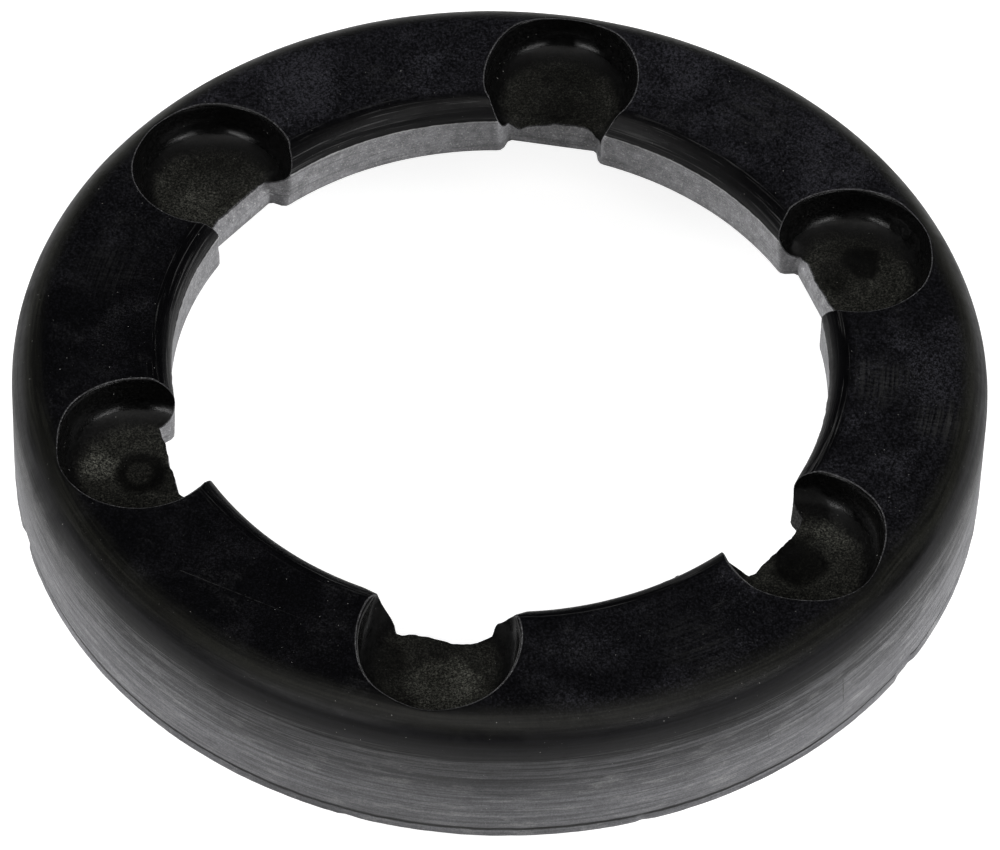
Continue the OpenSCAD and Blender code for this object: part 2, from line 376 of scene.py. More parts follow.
# Places pulled or torn out of true, in a pocket's frame: pocket, centre, reach, shift
PULLS = (
    (1, (52.0, 10.9, 21.2), (10.0, 7.0, 5.0), (0.0, -0.8, 0.0)),
    (1, (52.0, -10.9, 21.2), (10.0, 7.0, 5.0), (0.0, 0.35, 0.0)),
    (1, (44.6, -6.6, 15.4), (2.0, 2.0, 3.0), (0.4, -0.5, -0.5)),
    (1, (44.6, 6.8, 16.2), (2.2, 2.0, 3.0), (0.5, 0.4, -0.3)),
    (4, (52.0, -10.9, 21.2), (10.0, 7.0, 5.0), (0.0, 0.75, 0.0)),
    (4, (52.0, 10.9, 21.2), (10.0, 7.0, 5.0), (0.0, -0.45, 0.0)),
    (4, (61.4, 1.0, 20.5), (4.5, 9.0, 5.0), (0.35, 0.0, 0.0)),
    (4, (43.4, -6.4, 18.8), (5.6, 5.4, 3.9), (0.4, -1.2, 0.0)),
    (4, (43.4, 7.4, 19.9), (3.8, 3.4, 3.2), (0.5, 0.8, 0.0)),
    (3, (60.1, -5.5, 20.0), (5.0, 7.0, 6.0), (-0.35, 0.2, 0.0)),
    (3, (44.4, 7.6, 17.6), (2.6, 2.4, 2.6), (0.5, 0.6, 0.0)),
    (5, (60.1, 5.5, 21.2), (8.0, 9.0, 5.0), (-0.6, -0.32, 0.0)),
    (5, (56.5, -9.0, 21.2), (7.0, 7.0, 5.0), (-0.2, 0.3, 0.0)),
    (5, (44.2, 7.4, 15.4), (3.4, 3.4, 6.5), (0.35, 0.15, 0.0)),
    (5, (45.0, -6.6, 17.0), (2.4, 2.2, 2.4), (0.6, 0.3, -0.4)),
    (0, (60.1, -5.5, 20.0), (5.0, 7.0, 6.0), (-0.3, 0.17, 0.0)),
    (0, (44.6, 6.8, 15.8), (2.0, 2.0, 3.0), (0.3, 0.4, -0.5)),
    (2, (60.1, 5.5, 20.0), (5.0, 7.0, 6.0), (-0.26, -0.15, 0.0)),
    (2, (44.8, -7.0, 15.8), (2.2, 2.2, 3.0), (0.6, -0.3, -0.4)),
    (0, (60.0, 4.6, 17.3), (1.6, 1.8, 1.6), (-0.22, -0.08, 0.1)),
    (0, (60.3, 1.6, 17.3), (1.6, 1.6, 1.6), (-0.22, 0.0, 0.1)),
    (1, (60.3, 0.8, 17.4), (1.6, 1.8, 1.5), (-0.09, 0.0, 0.05)),
)
# How far down from the floor's edge the notch below it is torn back, and how much of that is left at its foot
TORN_REACH = ((1.2, 0.0), (1.2, 0.0), (1.2, 0.0), (3.3, 0.5), (3.3, 0.5), (3.3, 0.5))
# Knocks on the outer wall: angle in degrees, level, reach and depth in millimetres
KNOCKS = ((204.4, 0.5, 2.0, 0.55), (206.3, 1.2, 1.4, 0.3), (335.4, 0.9, 1.8, 0.5), (333.6, 0.4, 1.4, 0.35),
          (351.0, 6.0, 1.5, 0.3), (262.0, 0.3, 1.2, 0.2), (296.0, 0.4, 1.3, 0.22))
FLASH_SLIVER = (301.7, 313.7, 0.65)     # first and last angle of a sliver of flash in the bore, and its width


def smooth(t):
    t = np.clip(t, 0, 1)
    return t * t * (3 - 2 * t)


def ragged(seed, step):
    """A ragged line between -1 and 1 over any run of places, from knots a step apart."""
    knots = np.random.default_rng(seed).uniform(-1, 1, 4096)
    return lambda at: np.interp(np.asarray(at) / step + 2048, np.arange(4096), knots)


def waves(points, seed, shortest, longest, count=9):
    """A smooth uneven field between -1 and 1, from plane waves."""
    rng = np.random.default_rng(seed)
    total = np.zeros(len(points))
    for _ in range(count):
        way = rng.normal(size=3)
        way /= np.linalg.norm(way)
        total += np.sin(points @ way * 2 * math.pi / rng.uniform(shortest, longest) + rng.uniform(0, 6.3))
    return np.clip(total / (1.6 * math.sqrt(count)), -1, 1)


def torn(local, pocket):
    """One sector's vertices with its torn floor edge and its pulled places, in the pocket's frame."""
    x, y, z = local.T
    out = local.copy()
    knots = np.array(TORN_FLOORS[pocket])
    fine, coarse = ragged(20 + pocket, 0.45), ragged(40 + pocket, 1.5)
    near = smooth((9.0 - np.abs(y)) / 1.5)
    back = np.interp(y, knots[:, 0], knots[:, 1]) + near * (0.10 * fine(y) + 0.14 * coarse(y))
    down = np.interp(y, knots[:, 0], knots[:, 2]) + near * (0.06 * fine(y + 30) + 0.10 * coarse(y + 60))
    beyond = np.maximum(x - NOTCH_FLAT, 0)
    below = np.maximum(FLOOR_LEVEL - z, 0)
    above = smooth(1 - np.maximum(z - FLOOR_LEVEL - 0.3, 0) / 2.6)
    inside = smooth(1 - np.maximum(NOTCH_FLAT - 1.6 - x, 0) / 1.2) * above * smooth((8.6 - np.abs(y)) / 1.4)
    depth, left = TORN_REACH[pocket]
    out[:, 0] += inside * back * smooth(1 - beyond / 4.6) * (left + (1 - left) * np.clip(1 - below / depth, 0, 1))
    out[:, 2] -= inside * down * np.clip(1 - beyond / 1.6, 0, 1) * smooth(1 - below / 2.9)
    for index, centre, reach, shift in PULLS:
        if index == pocket:
            d = np.sum(((local - centre) / reach) ** 2, axis=1)
            out += np.clip(1 - d, 0, 1)[:, None] ** 2 * np.array(shift)
    return out


def lipped(r, z):
    """The outer rows with a squarer foot and a thin lip below a groove, where the two halves of the mould meet."""
    on_foot = (z < FOOT_EDGE_RADIUS) & (r > FOOT_ROUND[0])
    c = np.clip((r - FOOT_ROUND[0]) / FOOT_EDGE_RADIUS, 0, 1)
    s = np.clip((FOOT_ROUND[1] - z) / FOOT_EDGE_RADIUS, 0, 1)
    r = np.where(on_foot, FOOT_ROUND[0] + FOOT_EDGE_RADIUS * c ** 0.4, r)
    z = np.where(on_foot, FOOT_ROUND[1] - FOOT_EDGE_RADIUS * s ** 0.4, z)
    outer = r > SEAT_FOOT + 4
    groove = smooth((z - 0.62) / 0.28) * smooth((2.6 - z) / 1.5)
    return np.where(outer, r - 0.24 * groove, r), z


def worn(verts, length, zone):
    """The whole ring's vertices with flash along the bore's parting line, knocks, and uneven faces."""
    out = verts.copy()
    theta = np.arctan2(verts[:, 1], verts[:, 0])
    turn = np.degrees(theta) % 360
    radius = np.hypot(verts[:, 0], verts[:, 1])
    fine, coarse = ragged(3, 0.5), ragged(5, 2.4)
    seam = (np.abs(length - PARTING) < 0.02) & (zone == 0)
    flash = 0.07 + 0.05 * fine(turn * 0.76) + 0.05 * coarse(turn * 0.76)
    first, last, width = FLASH_SLIVER
    sliver = smooth((turn - first) / 1.5) * smooth((last - turn) / 2.5)
    inward = np.where(seam & (radius < BORE_RADIUS + 0.6), np.maximum(flash, 0.01) + sliver * (width + 0.12 * fine(turn * 2)), 0)
    lip = (verts[:, 2] < 0.75) & (radius > 64.3)
    inward += np.where(lip, 0.03 + 0.03 * fine(turn * 1.13 + 400) + 0.015 * coarse(turn * 1.13), 0)
    for angle, level, reach, depth in KNOCKS:
        a = math.radians(angle)
        centre = np.array([OUTER_RADIUS * math.cos(a), OUTER_RADIUS * math.sin(a), level])
        d = np.sum(((verts - centre) / reach) ** 2, axis=1)
        inward += depth * np.clip(1 - d, 0, 1) ** 2
    seen = smooth((verts[:, 2] - SEAT_LEVEL) / 2)
    broad, small = waves(verts, 11, 14, 34), waves(verts, 12, 4, 9)
    inward += 0.03 + 0.02 * broad + 0.008 * small
    out[:, 2] += seen * (-0.06 + 0.035 * waves(verts, 13, 12, 30) + 0.012 * waves(verts, 14, 3.5, 8))
    out[:, 2] += seen * zone * (0.06 * waves(verts, 15, 3, 8) - 0.02)
    scale = (radius - inward) / radius
    out[:, 0] *= scale
    out[:, 1] *= scale
    return out


def sector_mesh():
    """Vertices and triangles of one sector of the skin with its bowl, its pocket along +X.
    Gives also the runs of vertices that join it to its neighbours, to the outside and to the underside."""
    place = crease_loop()
    crease = skin_point(place[:, 0], place[:, 1])
    hole = place + RIM_ROUND * outward(place)
    n = len(place)

    half_u = math.pi / POCKET_COUNT * SCALE_U
    s_end = SKIN.length
    parting = [PARTING - 0.16, PARTING, PARTING + 0.16]
    side_s = np.linspace(0, s_end, int(s_end / CELL) + 1)
    side_s = np.unique(np.concatenate([side_s[np.min(np.abs(side_s[:, None] - parting), axis=1) > 0.2], parting, [0.12]]))
    low_u = np.linspace(-half_u, half_u, BORE_COLUMNS + 1)
    high_u = np.linspace(-half_u, half_u, SECTOR_COLUMNS + 1)
    inner = side_s[1:-1]
    parts, runs, start = [], [], 0

    def add(points):
        nonlocal start
        parts.append(points)
        ids = np.arange(start, start + len(points))
        start += len(points)
        return ids

    bottom = add(np.stack([low_u, np.zeros(low_u.shape)], -1))
    top = add(np.stack([high_u, np.full(high_u.shape, s_end)], -1))
    left = np.concatenate([[bottom[0]], add(np.stack([np.full(inner.shape, -half_u), inner], -1)), [top[0]]])
    right = np.concatenate([[bottom[-1]], add(np.stack([np.full(inner.shape, half_u), inner], -1)), [top[-1]]])
    rim = add(hole)
    runs = [bottom, top, left, right, np.append(rim, rim[0])]
    guard = hole
    for step in (0.22, 0.55):                   # closer rows beside the crease
        ring = place + (RIM_ROUND + step) * outward(place)
        keep = distance_to_loop(ring, hole) > step * 0.8
        keep &= (ring[:, 1] > 0.25) & (np.abs(ring[:, 0]) < half_u - 0.3)
        keep &= ~inside_polygon(ring, hole)
        add(ring[keep])
    rows_u = np.linspace(-half_u, half_u, 2 * BORE_COLUMNS + 1)[1:-1]
    for level in [0.12] + parting:
        row = np.stack([rows_u if level > 1 else low_u[1:-1], np.full(len(rows_u) if level > 1 else len(low_u) - 2, level)], -1)
        keep = ~inside_polygon(row, hole) & (distance_to_loop(row, hole) > 0.3)
        add(row[keep])
    lattice = hex_lattice((-half_u + CELL * 0.6, CELL * 0.75), (half_u - CELL * 0.55, s_end - CELL * 0.55), CELL)
    keep = ~inside_polygon(lattice, hole) & (distance_to_loop(lattice, hole) > 0.55 + CELL * 0.62)
    for level in parting:
        keep &= np.abs(lattice[:, 1] - level) > CELL * 0.5
    add(lattice[keep])
    flat = np.concatenate(parts)
    faces = triangulate(flat, runs)
    middle = flat[faces].mean(axis=1)
    faces = faces[~inside_polygon(middle, hole)]
    skin = skin_point(flat[:, 0], flat[:, 1])

    # the bowl, in a flat map of its own: spoke angle and length along its section
    phi, t = bowl_place(*crease.T)
    sharp = np.stack([t * np.cos(phi), t * np.sin(phi)], -1)
    turned = 1 if np.sum(sharp[:, 0] * np.roll(sharp[:, 1], -1) - np.roll(sharp[:, 0], -1) * sharp[:, 1]) > 0 else -1
    edge = sharp - turned * RIM_ROUND * outward(sharp)
    near = sharp - turned * (RIM_ROUND + 0.25) * outward(sharp)
    near = near[inside_polygon(near, edge) & (distance_to_loop(near, edge) > 0.18)]
    size = BOWL.length
    cells = hex_lattice((-size, -size), (size, size), CELL)
    keep = inside_polygon(cells, edge) & (distance_to_loop(cells, edge) > 0.25 + CELL * 0.6)
    bowl_flat = np.concatenate([edge, near, cells[keep]])
    ids = np.arange(n)
    bowl_faces = triangulate(bowl_flat, [np.append(ids, 0)])
    bowl_faces = bowl_faces[inside_polygon(bowl_flat[bowl_faces].mean(axis=1), edge)]
    t = np.hypot(bowl_flat[:, 0], bowl_flat[:, 1])
    bowl = np.stack(bowl_point(np.arctan2(bowl_flat[:, 1], bowl_flat[:, 0]), t), -1)

    # the rounded crease between them: two rows on a curve drawn towards the sharp edge
    outer, inner_edge = skin[rim], bowl[:n]
    rows = [(1 - w) ** 2 * outer + 2 * w * (1 - w) * crease + w ** 2 * inner_edge for w in (1 / 3, 2 / 3)]
    base_a, base_b = len(skin), len(skin) + n
    base_bowl = len(skin) + 2 * n
    verts = np.concatenate([skin, rows[0], rows[1], bowl])
    chain = [rim, base_a + ids, base_b + ids, base_bowl + ids]
    strip = []
    for a, b in zip(chain[:-1], chain[1:]):
        a1, b1 = np.roll(a, -1), np.roll(b, -1)
        strip += [np.stack([a, b, b1], -1), np.stack([a, b1, a1], -1)]
    faces = oriented(verts, faces, 2, 1)
    bowl_faces = oriented(verts, bowl_faces + base_bowl, 2, 1)
    strip = oriented(verts, np.concatenate(strip), 2, 1)
    all_faces = np.concatenate([faces, bowl_faces, strip])
    return {
        "verts": verts, "faces": all_faces, "left": left, "right": right, "top": top, "bottom": bottom,
        "skin_s": flat[:, 1], "skin_count": len(skin), "bowl_start": base_a, "strip": (base_a, base_b, base_bowl),
        "crease": crease, "place": place,
    }


def oriented(verts, faces, axis, sign):
    """The faces, all turned over if the ones that look most along an axis look the wrong way."""
    p = verts[faces]
    n = np.cross(p[:, 1] - p[:, 0], p[:, 2] - p[:, 0])
    return faces if np.sign(n[:, axis].sum()) == sign else faces[:, ::-1]


def row_lengths():
    """Lengths along the outside section at which its rows lie: close on rounds, wider underneath."""
    rows = [0.0]
    steps = [0.5, 0.5, 0.2, HIDDEN_CELL, 0.16, HIDDEN_CELL, 0.4, HIDDEN_CELL]
    for i, (part, start, step) in enumerate(zip(OUTSIDE.parts, OUTSIDE.starts, steps)):
        length = Section.part_length(part)
        if i == 1:
            length -= LIP_REACH
            rows += [start + length + LIP_REACH * t for t in (0.2, 0.4, 0.6, 0.75, 0.9)]
            rows += [start + length + LIP_REACH]
        count = max(1, int(round(length / step)))
        rows += [start + length * (j + 1) / count for j in range(count)]
    return np.array(sorted(rows))


def ring_mesh():
    """The whole ring: six sectors of skin and bowl, the outside rows, and a seam under the bore's edge.
    Gives vertices, triangles and, for each vertex, its length along the section and its zone."""
    sector = sector_mesh()
    local = sector["verts"]
    count = len(local)
    left, right = sector["left"], sector["right"]
    own = np.setdiff1d(np.arange(count), right)
    slot_of = np.full(count, -1)
    slot_of[own] = np.arange(len(own))
    per = len(own)
    verts, faces, tops, bottoms = [], [], [], []
    for k in range(POCKET_COUNT):
        turn = math.radians(POCKET_START + k * 360 / POCKET_COUNT)
        c, s = math.cos(turn), math.sin(turn)
        rotation = np.array([[c, s, 0], [-s, c, 0], [0, 0, 1]])
        verts.append(torn(local[own], k) @ rotation)
        ids = slot_of + k * per
        ids[right] = slot_of[left] + ((k + 1) % POCKET_COUNT) * per
        faces.append(ids[sector["faces"]])
        tops.append(ids[sector["top"][:-1]])
        bottoms.append(ids[sector["bottom"][:-1]])
    verts, faces = np.concatenate(verts), np.concatenate(faces)
    top, bottom = np.concatenate(tops), np.concatenate(bottoms)

    lengths = row_lengths()
    theta = np.arctan2(verts[top, 1], verts[top, 0])
    r, z = lipped(*OUTSIDE.at(lengths))
    columns = len(top)
    rows = np.stack([np.outer(r[1:], np.cos(theta)), np.outer(r[1:], np.sin(theta)),
                     np.repeat(z[1:, None], columns, axis=1)], -1).reshape(-1, 3)
    first = len(verts)
    verts = np.concatenate([verts, rows])
    grid = np.concatenate([top[None], first + np.arange(len(rows)).reshape(-1, columns)])
    a, b = grid[:-1], grid[1:]
    a1, b1 = np.roll(a, -1, axis=1), np.roll(b, -1, axis=1)
    outside = np.concatenate([np.stack([a, b, b1], -1).reshape(-1, 3), np.stack([a, b1, a1], -1).reshape(-1, 3)])

    inner = grid[-1]
    angle_a = np.unwrap(np.arctan2(verts[inner, 1], verts[inner, 0]))
    angle_b = np.unwrap(np.arctan2(verts[bottom, 1], verts[bottom, 0]))
    seam, i, j = [], 0, 0
    while i < len(inner) or j < len(bottom):
        next_a = angle_a[i + 1] if i + 1 < len(inner) else angle_a[0] + 2 * math.pi
        next_b = angle_b[j + 1] if j + 1 < len(bottom) else angle_b[0] + 2 * math.pi
        p, q = inner[i % len(inner)], bottom[j % len(bottom)]
        if j >= len(bottom) or (i < len(inner) and next_a <= next_b):
            seam.append((p, q, inner[(i + 1) % len(inner)]))
            i += 1
        else:
            seam.append((p, q, bottom[(j + 1) % len(bottom)]))
            j += 1
    faces = np.concatenate([faces, outside, np.array(seam)])

    length = np.full(len(verts), SKIN.length)
    zone = np.zeros(len(verts))
    skin_s = np.concatenate([sector["skin_s"], np.full(count - sector["skin_count"], -1.0)])
    bowl = np.zeros(count)
    bowl[sector["strip"][0]:] = 0.5
    bowl[sector["strip"][2]:] = 1.0
    for k in range(POCKET_COUNT):
        length[k * per:(k + 1) * per] = skin_s[own]
        zone[k * per:(k + 1) * per] = bowl[own]
    length[first:] = SKIN.length + np.repeat(lengths[1:], columns)
    return worn(verts, length, zone), faces, length, zone


# ---------------------------------------------------------------- rubber
class Nodes:
    """Short calls for building a node tree. A value may be a number, a tuple or another node's output."""

    def __init__(self, tree):
        self.tree = tree

    def put(self, socket, value):
        if hasattr(value, "links"):
            self.tree.links.new(value, socket)
        elif value is not None:
            socket.default_value = value

    def math(self, kind, a, b=None, c=None, clamp=False):
        node = self.tree.nodes.new("ShaderNodeMath")
        node.operation, node.use_clamp = kind, clamp
        for socket, value in zip(node.inputs, (a, b, c)):
            self.put(socket, value)
        return node.outputs[0]

    def vector(self, kind, a, b):
        node = self.tree.nodes.new("ShaderNodeVectorMath")
        node.operation = kind
        self.put(node.inputs[0], a)
        self.put(node.inputs[3 if kind == "SCALE" else 1], b)
        return node.outputs[0]

    def attribute(self, name):
        node = self.tree.nodes.new("ShaderNodeAttribute")
        node.attribute_name = name
        return node.outputs["Fac"]

    def noise(self, where, scale, detail=4.0, rough=0.55, warp=0.0):
        node = self.tree.nodes.new("ShaderNodeTexNoise")
        for name, value in (("Vector", where), ("Scale", scale), ("Detail", detail),
                            ("Roughness", rough), ("Distortion", warp)):
            self.put(node.inputs[name], value)
        return node.outputs["Fac"]

    def cells(self, where, scale):
        node = self.tree.nodes.new("ShaderNodeTexVoronoi")
        self.put(node.inputs["Vector"], where)
        self.put(node.inputs["Scale"], scale)
        return node.outputs["Distance"], node.outputs["Color"]

    def span(self, value, low, high, out_low=0.0, out_high=1.0, smooth=True):
        node = self.tree.nodes.new("ShaderNodeMapRange")
        node.interpolation_type = "SMOOTHSTEP" if smooth else "LINEAR"
        for name, v in (("Value", value), ("From Min", low), ("From Max", high),
                        ("To Min", out_low), ("To Max", out_high)):
            self.put(node.inputs[name], v)
        return node.outputs["Result"]

    def mix(self, factor, a, b, kind="MIX"):
        node = self.tree.nodes.new("ShaderNodeMix")
        node.data_type, node.blend_type = "RGBA", kind
        for name, value in (("Factor_Float", factor), ("A_Color", a), ("B_Color", b)):
            socket = next(i for i in node.inputs if i.identifier == name)
            self.put(socket, value)
        return next(o for o in node.outputs if o.identifier == "Result_Color")

    def spot(self, where, centre, reach, soft=0.4, wander=None):
        """1 within a reach of a place, fading over the soft share of it. wander makes its edge uneven."""
        node = self.tree.nodes.new("ShaderNodeVectorMath")
        node.operation = "DISTANCE"
        self.put(node.inputs[0], where)
        self.put(node.inputs[1], centre)
        away = node.outputs["Value"]
        if wander is not None:
            away = self.math("MULTIPLY_ADD", wander, reach * 0.9, self.math("SUBTRACT", away, reach * 0.45))
        return self.span(away, reach, reach * (1 - soft))

    def ring_spot(self, where, centre, reach):
        """1 on a ring round a place."""
        reach = abs(reach)
        return self.math("SUBTRACT", self.spot(where, centre, reach * 1.35, 0.25), self.spot(where, centre, reach * 0.75, 0.3))

    def stroke(self, where, start, end, width):
        """1 within a width of the straight line between two places."""
        way = [b - a for a, b in zip(start, end)]
        size = sum(v * v for v in way)
        off = self.vector("SUBTRACT", where, start)
        dot = self.tree.nodes.new("ShaderNodeVectorMath")
        dot.operation = "DOT_PRODUCT"
        self.put(dot.inputs[0], off)
        self.put(dot.inputs[1], [v / size for v in way])
        part = self.math("MULTIPLY", dot.outputs["Value"], 1.0, clamp=True)
        beside = self.tree.nodes.new("ShaderNodeVectorMath")
        beside.operation = "SCALE"
        self.put(beside.inputs[0], way)
        self.put(beside.inputs[3], part)
        return self.spot(off, beside.outputs[0], width, 0.5)

    def bump(self, height, distance, strength, normal=None):
        node = self.tree.nodes.new("ShaderNodeBump")
        for name, value in (("Height", height), ("Distance", distance), ("Strength", strength), ("Normal", normal)):
            self.put(node.inputs[name], value)
        return node.outputs["Normal"]


def grey(level, warm=0.0):
    return (level * (1 + warm * 0.35), level * (1 + warm * 0.4), level * (1 - warm), 1)


# Floors of the six pockets, in millimetres: worn pale places and dark bare ones, as (x, y, reach, tone);
# a negative reach marks a ring round its place instead of a disc
FLOOR_MARKS = (
    (44.9, 28.7, 3.6, 0.12), (41.0, 25.6, 3.4, 0.5),
    (-43.6, -25.1, -2.8, 0.22), (-43.6, -25.1, 4.6, 0.7), (-48.8, -25.0, 2.9, 2.5), (-40.2, -25.6, 3.0, 0.4),
    (43.2, -24.6, 4.9, 0.13), (40.6, -23.0, 3.4, 0.5), (52.0, -24.0, 3.5, 0.7), (47.0, -19.0, 3.0, 1.9),
    (1.2, -53.0, 5.4, 4.0), (-7.2, -50.5, 4.0, 0.35),
    (-44.4, 22.6, 4.6, 1.6), (2.0, 49.0, 4.0, 0.8),
)


def rubber():
    mat = bpy.data.materials.new("black_rubber")
    mat.use_nodes = True
    tree = mat.node_tree
    n = Nodes(tree)
    bsdf = tree.nodes["Principled BSDF"]
    mm = n.vector("SCALE", tree.nodes.new("ShaderNodeTexCoord").outputs["Object"], 1000.0)
    flat = n.vector("MULTIPLY", mm, (1.0, 1.0, 0.0))
    xyz = tree.nodes.new("ShaderNodeSeparateXYZ")
    n.put(xyz.inputs[0], mm)
    run = n.attribute("section_length")      # millimetres along the section, from the bore's lower edge
    bowl = n.attribute("bowl")               # 1 in a pocket, 0 outside
    hub = n.attribute("bowl_radius")         # millimetres from a pocket's own axis
    outside = n.math("SUBTRACT", 1.0, bowl)

    # fields: clouds of dust, scuffs, grain, and turning lines that follow the section
    wander = n.noise(mm, 0.35, 3)
    cloud = n.span(n.noise(mm, 0.085, 5, 0.6, 0.4), 0.44, 0.74)
    scuff = n.span(n.noise(n.vector("ADD", mm, (40, 12, 3)), 0.19, 6, 0.7), 0.52, 0.76)
    mottle = n.noise(mm, 1.1, 4, 0.6)
    grain = n.noise(mm, 3.2, 3, 0.75)
    fine = n.noise(mm, 5.0, 2, 0.7)
    along = tree.nodes.new("ShaderNodeCombineXYZ")
    n.put(along.inputs["Z"], run)
    ringwise = n.vector("ADD", n.vector("MULTIPLY", mm, (0.035, 0.035, 0.0)), along.outputs[0])
    coarse_lines = n.noise(n.vector("MULTIPLY", ringwise, (1, 1, 1.3)), 1.0, 3, 0.6)
    fine_lines = n.noise(n.vector("MULTIPLY", ringwise, (1.6, 1.6, 3.4)), 1.0, 3, 0.7)
    scratches = n.noise(n.vector("MULTIPLY", mm, (0.25, 3.5, 1.0)), 1.0, 3, 0.7)

    # zones, with edges that wander a little
    wandering = n.math("MULTIPLY_ADD", wander, 1.6, n.math("SUBTRACT", run, 0.8))
    streaky = n.math("MULTIPLY_ADD", coarse_lines, 4.0, n.math("SUBTRACT", run, 2.0))
    wall = n.math("MULTIPLY", n.span(streaky, WALL_ZONE - 0.7, WALL_ZONE + 0.7), outside)
    bore = n.math("MULTIPLY", n.span(run, PARTING + 0.12, PARTING - 0.05), outside)
    throat = n.math("MULTIPLY", n.span(wandering, BORE_TOP + 0.4, BORE_TOP - 1.2), outside)
    shoulder = n.math("MULTIPLY", n.span(wandering, SKIN.starts[3] + 0.4, SKIN.starts[3] + 3.4),
                      n.math("SUBTRACT", 1.0, wall))
    dark_band_shade = n.math("MULTIPLY", n.span(wandering, WALL_ZONE - 5.4, WALL_ZONE - 3.4), n.math("SUBTRACT", 1.0, wall))
    # painted light: these masks make the far and the right side lighter
    far_side_light = n.span(xyz.outputs["Y"], -10.0, 50.0)
    right = n.span(xyz.outputs["X"], -10.0, 50.0)

    # the top: near black, with grains of dust; painted light makes the dust thicker and lighter towards the far and
    # right sides
    dust_and_side_light = n.math("MULTIPLY_ADD", cloud, 0.75, 0.25)
    dust_and_side_light = n.math("MULTIPLY", dust_and_side_light, n.math("MULTIPLY_ADD", n.math("MAXIMUM", n.math("MULTIPLY", far_side_light, 1.9), right), 1.1, 0.3))
    grains = n.math("MULTIPLY", n.span(grain, 0.40, 0.62, 0.15, 1.7), n.span(fine, 0.38, 0.62, 0.25, 1.6))
    top = n.mix(n.math("MULTIPLY", dust_and_side_light, n.math("MULTIPLY", grains, 0.5), clamp=True), grey(TOP_DARK, -0.2), grey(TOP_SCUFFED * 1.9, -0.14))
    top = n.mix(n.math("MULTIPLY", scuff, n.math("MULTIPLY", grains, 0.35), clamp=True), top, grey(TOP_SCUFFED * 1.4, -0.06))
    for x, y, reach, share in ((50.1, 2.8, 6.0, 0.8), (58.6, -2.7, 5.0, 0.9), (33.0, -46.0, 7.0, 0.35), (-53.0, 4.0, 7.0, 0.3), (28.0, 48.0, 7.0, 0.5)):
        rubbed = n.math("MULTIPLY", n.spot(flat, (x, y, 0), reach, 0.8, wander), n.span(n.math("ADD", n.math("MULTIPLY", fine_lines, 0.6), n.math("MULTIPLY", scratches, 0.4)), 0.44, 0.62))
        top = n.mix(n.math("MULTIPLY", rubbed, share), top, grey(TOP_SCUFFED * 1.8))
    top = n.mix(n.math("MULTIPLY", n.span(fine_lines, 0.52, 0.66), n.math("MULTIPLY", scuff, 0.7)), top, grey(TOP_SCUFFED * 1.6))
    # the shoulder: olive turning lines with a painted sheen, and painted light on the far side
    top = n.mix(n.math("MULTIPLY", shoulder, 0.85), top, n.mix(far_side_light, n.mix(n.span(fine_lines, 0.42, 0.60), grey(SHOULDER_SHEEN_TONE * 0.55, 0.16), grey(SHOULDER_SHEEN_TONE * 1.5, 0.16)), grey(SHOULDER_SHEEN_TONE * 1.1, 0.3)))
    # painted shade: the band between the shoulder and the wall, darker, with turning lines
    top = n.mix(n.math("MULTIPLY", dark_band_shade, 0.95), top, n.mix(n.span(fine_lines, 0.44, 0.62), grey(BAND_SHADE_TONE * 0.4, -0.3), grey(BAND_SHADE_TONE * 1.9, -0.2)))
    # the bore's round: fine lines that follow its edge
    top = n.mix(throat, top, grey(TOP_DARK, -0.2))
    top = n.mix(n.math("MULTIPLY", throat, n.span(fine_lines, 0.57, 0.66)), top, grey(TOP_SCUFFED * 3.0))

    # the outer wall: turned lines and pale rubbed places, with painted light: darker above, lighter towards the floor
    height = n.span(run, WALL_ZONE, WALL_ZONE + 10.0, 0.30, 1.10, False)
    wall_tone = n.mix(n.span(fine_lines, 0.38, 0.62), grey(WALL_TONE * 0.72, -0.04), grey(WALL_TONE * 1.18, -0.04))
    lined = n.span(run, WALL_ZONE + 12.0, WALL_ZONE - 1.0, 0.2, 1.0)
    wall_tone = n.mix(n.math("MULTIPLY", n.span(coarse_lines, 0.58, 0.46), lined), wall_tone, grey(WALL_TONE * 0.26, -0.05))
    thin_lines = n.noise(n.vector("MULTIPLY", ringwise, (1.2, 1.2, 3.0)), 1.0, 2, 0.5)
    wall_tone = n.mix(n.math("MULTIPLY", n.span(thin_lines, 0.60, 0.68), n.math("MULTIPLY", lined, 0.8)), wall_tone, grey(WALL_TONE * 0.15, -0.05))
    smudge = n.noise(n.vector("MULTIPLY", ringwise, (5.0, 5.0, 0.8)), 1.0, 5, 0.72)
    wall_tone = n.mix(n.math("MULTIPLY", n.span(smudge, 0.50, 0.68), 0.5), wall_tone, grey(WALL_TONE * 1.9))
    wall_tone = n.mix(n.math("MULTIPLY", n.span(smudge, 0.46, 0.34), 0.4), wall_tone, grey(WALL_TONE * 0.3))
    # painted light: the wall is darker above and lighter towards the floor
    wall_tone = n.mix(1.0, wall_tone, n.vector("SCALE", (1.0, 1.0, 1.0), height), "MULTIPLY")
    # painted shade: a near-black line along the foot round, where it meets the floor
    foot_shade_distance = n.math("ADD", n.math("SUBTRACT", run, FOOT_RUN - 0.35), n.math("MULTIPLY", wander, 0.5))
    wall_tone = n.mix(n.span(n.math("ABSOLUTE", foot_shade_distance), 0.42, 0.14), wall_tone, grey(0.004))

    # the bore: pale and speckled, with a painted highlight as a bright thread along the flash at its upper edge
    bore_tone = n.mix(n.span(n.noise(mm, 0.6, 5, 0.65), 0.3, 0.7), grey(BORE_TONE * 0.72, -0.03), grey(BORE_TONE * 1.25, -0.03))
    bore_tone = n.mix(n.math("MULTIPLY", n.span(n.noise(mm, 3.0, 3, 0.75), 0.54, 0.66), 0.7), bore_tone, grey(0.34))
    bore_tone = n.mix(n.math("MULTIPLY", n.span(fine_lines, 0.46, 0.36), 0.5), bore_tone, grey(BORE_TONE * 0.4))
